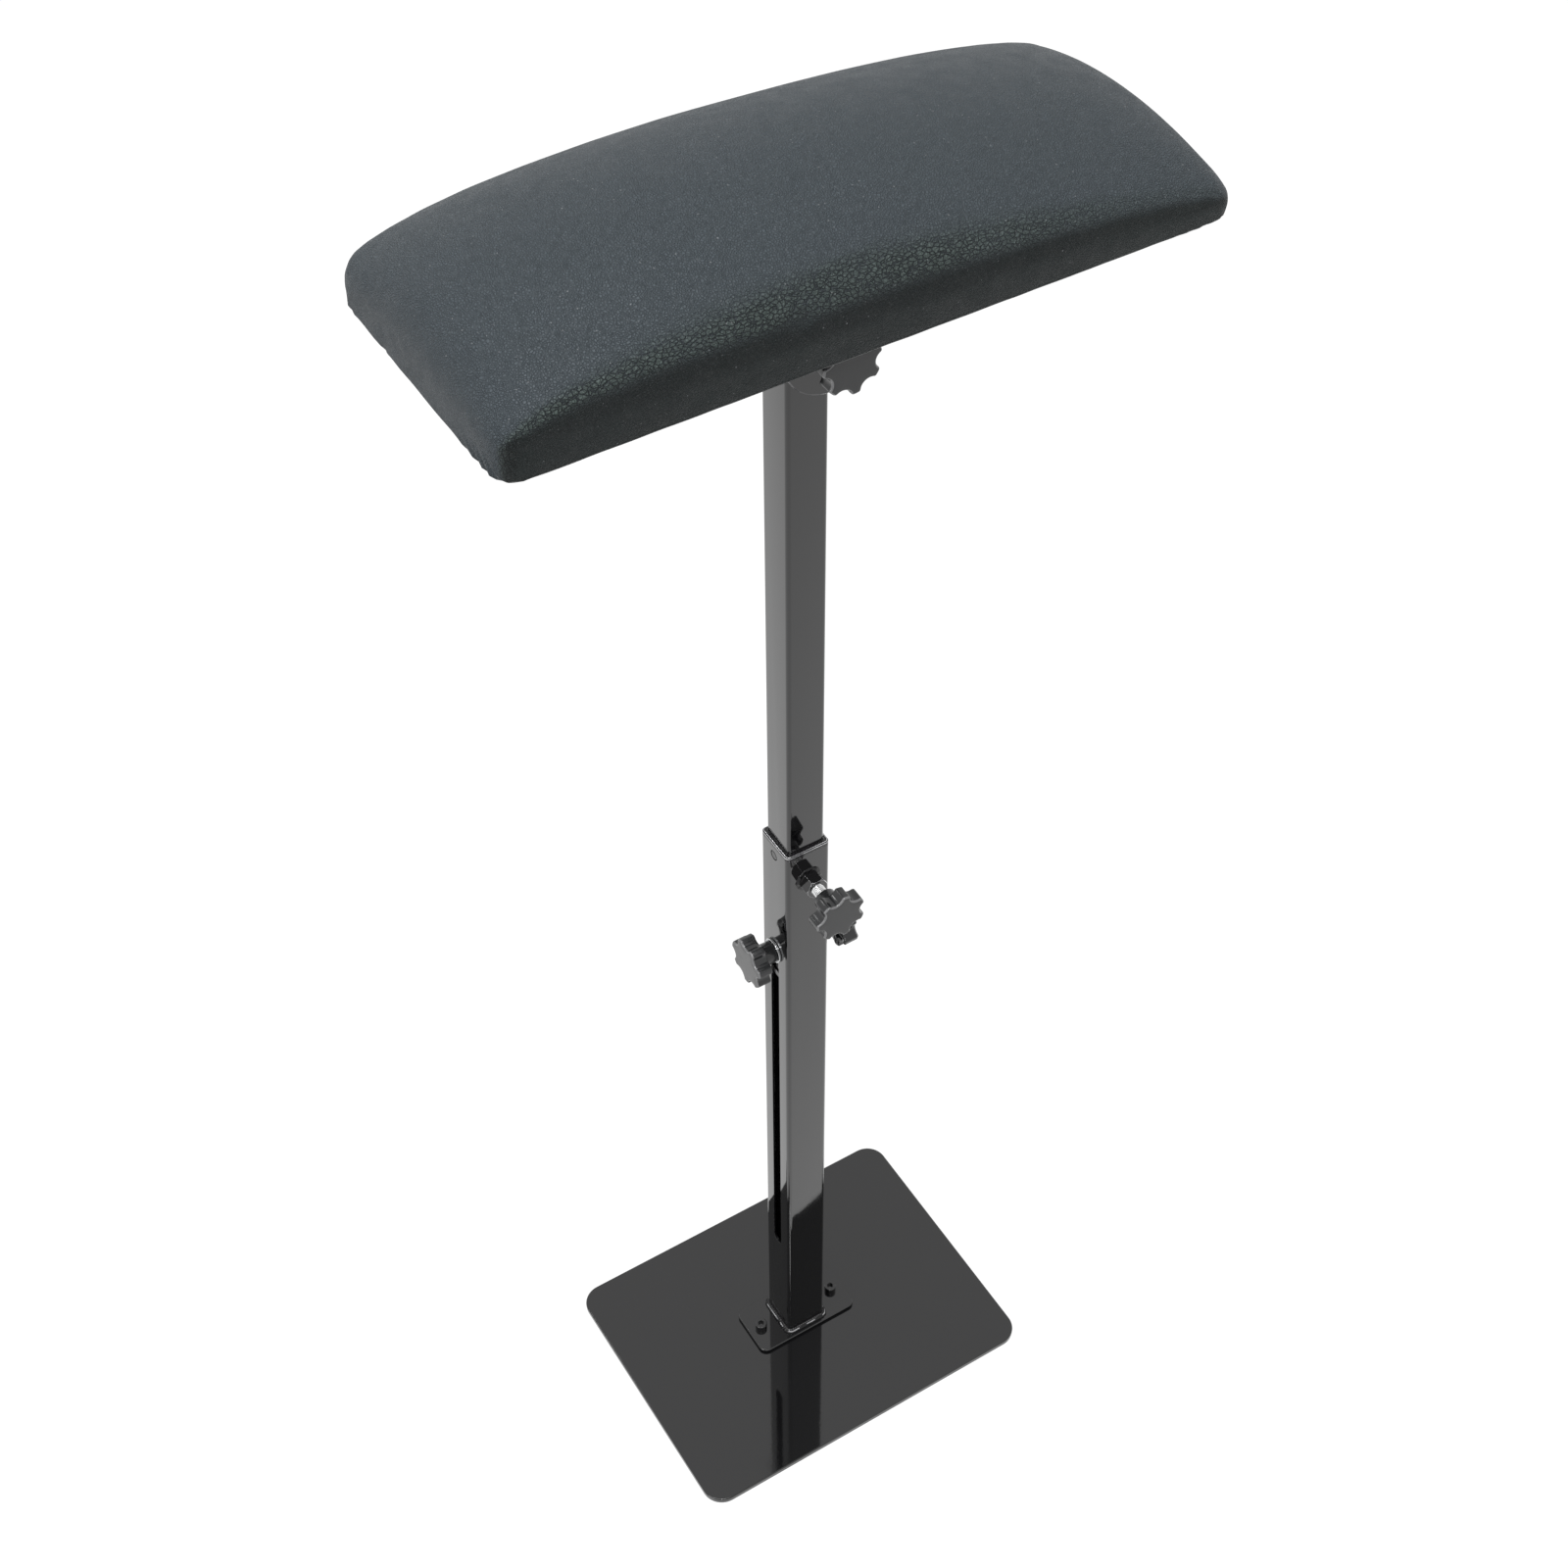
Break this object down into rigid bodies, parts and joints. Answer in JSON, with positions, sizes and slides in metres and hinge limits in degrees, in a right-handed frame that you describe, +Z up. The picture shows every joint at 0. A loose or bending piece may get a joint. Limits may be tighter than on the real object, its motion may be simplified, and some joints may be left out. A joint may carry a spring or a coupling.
{
  "type": "tattoo arm rest stand",
  "caption": "Free-standing padded arm rest: flat steel base, square telescopic column with slots and star knobs, tilting leather pad.",
  "frame": {"origin": "centre of the base plate's underside", "axes": "+X along the pad, +Y from the front lock knob towards the back, +Z up"},
  "size_m": [0.396, 0.2, 1.0035],
  "materials": {
    "black_coat": "gloss black powder coat",
    "knob_plastic": "moulded, fine satin",
    "bush_plastic": "moulded",
    "zinc_steel": "bright zinc plated",
    "brass": "machined",
    "cover_leather": "grained artificial leather",
    "foam": "open cell foam",
    "plywood": "plain plywood",
    "under_fabric": "thin non-woven cloth"
  },
  "bodies": {
    "stand": {"base_plate": "black_coat", "foot_flange": "black_coat", "foot_screws": "black_coat", "foot_weld": "black_coat", "lower_tube": "black_coat", "guide_bush": "bush_plastic", "lock_nut": "black_coat"},
    "lock_screw": {"lock_stud": "zinc_steel"},
    "lock_star": {"lock_knob": "knob_plastic"},
    "mast": {"upper_tube": "black_coat", "guide_plug": "bush_plastic", "clamp_nuts": "black_coat", "cross_tube": "black_coat", "tube_plugs": "bush_plastic", "head_weld": "black_coat"},
    "left_ring": {"left_washer": "zinc_steel"},
    "left_star": {"left_stud": "zinc_steel", "left_knob": "knob_plastic"},
    "right_ring": {"right_washer": "zinc_steel"},
    "right_star": {"right_stud": "zinc_steel", "right_knob": "knob_plastic"},
    "pad": {"pad_bracket": "black_coat", "tilt_bolt": "zinc_steel", "bracket_screws": "zinc_steel", "tee_nuts": "zinc_steel", "pad_board": "plywood", "pad_foam": "foam", "pad_cover": "cover_leather", "under_cloth": "under_fabric", "pad_staples": "zinc_steel"},
    "tilt_ring": {"tilt_washer": "zinc_steel"},
    "tilt_star": {"tilt_insert": "brass", "tilt_knob": "knob_plastic"}
  },
  "joints": [
    {"name": "height_slide", "type": "slide", "parent": "stand", "child": "mast", "axis": [0, 0, 1], "range_m": [-0.3185, 0]},
    {"name": "pad_tilt", "type": "hinge", "parent": "mast", "child": "pad", "pos_m": [0, 0.004, 0.9065], "axis": [0, 1, 0], "range_deg": [-90, 90]},
    {"name": "lock_travel", "type": "slide", "parent": "stand", "child": "lock_screw", "axis": [0, -1, 0], "range_m": [0, 0.00125]},
    {"name": "lock_turn", "type": "hinge", "parent": "lock_screw", "child": "lock_star", "pos_m": [0, -0.04, 0.505], "axis": [0, -1, 0], "range_deg": [0, 360]},
    {"name": "left_travel", "type": "slide", "parent": "mast", "child": "left_ring", "axis": [-1, 0, 0], "range_m": [0, 0.00125]},
    {"name": "left_turn", "type": "hinge", "parent": "left_ring", "child": "left_star", "pos_m": [-0.03, 0.004, 0.4325], "axis": [-1, 0, 0], "range_deg": [0, 360]},
    {"name": "right_travel", "type": "slide", "parent": "mast", "child": "right_ring", "axis": [1, 0, 0], "range_m": [0, 0.00125]},
    {"name": "right_turn", "type": "hinge", "parent": "right_ring", "child": "right_star", "pos_m": [0.03, 0.004, 0.4325], "axis": [1, 0, 0], "range_deg": [0, 360]},
    {"name": "tilt_travel", "type": "slide", "parent": "pad", "child": "tilt_ring", "axis": [0, -1, 0], "range_m": [0, 0.00125]},
    {"name": "tilt_turn", "type": "hinge", "parent": "tilt_ring", "child": "tilt_star", "pos_m": [0, -0.04, 0.9065], "axis": [0, -1, 0], "range_deg": [0, 360]}
  ],
  "couplings": [
    {"joint": "lock_turn", "follows": "lock_travel", "rad_per_m": 5026.5},
    {"joint": "left_turn", "follows": "left_travel", "rad_per_m": 5026.5},
    {"joint": "right_turn", "follows": "right_travel", "rad_per_m": 5026.5},
    {"joint": "tilt_turn", "follows": "tilt_travel", "rad_per_m": 5026.5}
  ]
}
